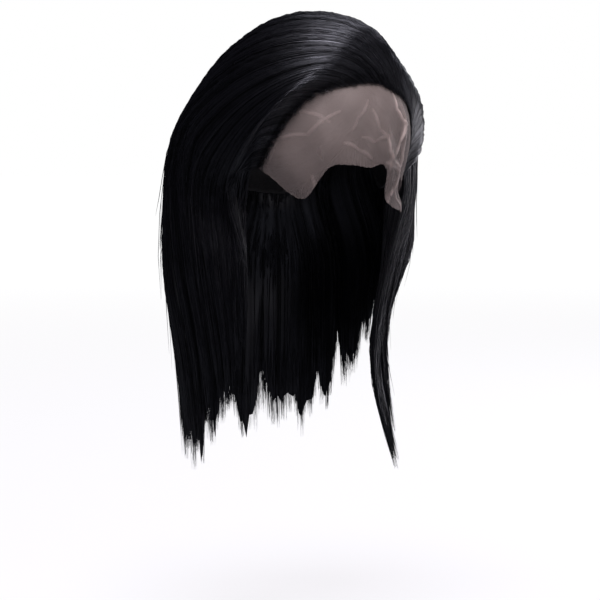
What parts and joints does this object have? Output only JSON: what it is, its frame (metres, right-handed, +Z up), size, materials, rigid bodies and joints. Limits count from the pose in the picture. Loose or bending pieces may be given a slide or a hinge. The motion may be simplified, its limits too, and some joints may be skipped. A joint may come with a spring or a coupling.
{
  "type": "lace front wig",
  "caption": "Long straight wig, worn: stretch cap, sheer lace front with an uncut edge and a loose tail, and hair swept back from the hairline and hanging in locks to the shoulders.",
  "frame": {"origin": "inside of the cap at the top of the head, where a head carries the wig", "axes": "+Z up against gravity as worn, the wearer faces -Y, the wearer's left is +X"},
  "size_m": [0.2579, 0.2326, 0.4269],
  "materials": {
    "hair": "near-black straight synthetic fibre with a cool sheen",
    "cap_net": "matte black stretch net with sewn rows",
    "lace": "sheer beige hexagonal net, soft, with creases"
  },
  "bodies": {
    "root": {"wig_cap": "cap_net", "lace_front": "lace", "hair_right": "hair", "hair_back": "hair", "hair_left": "hair", "left_front_lock": "hair"}
  },
  "joints": []
}
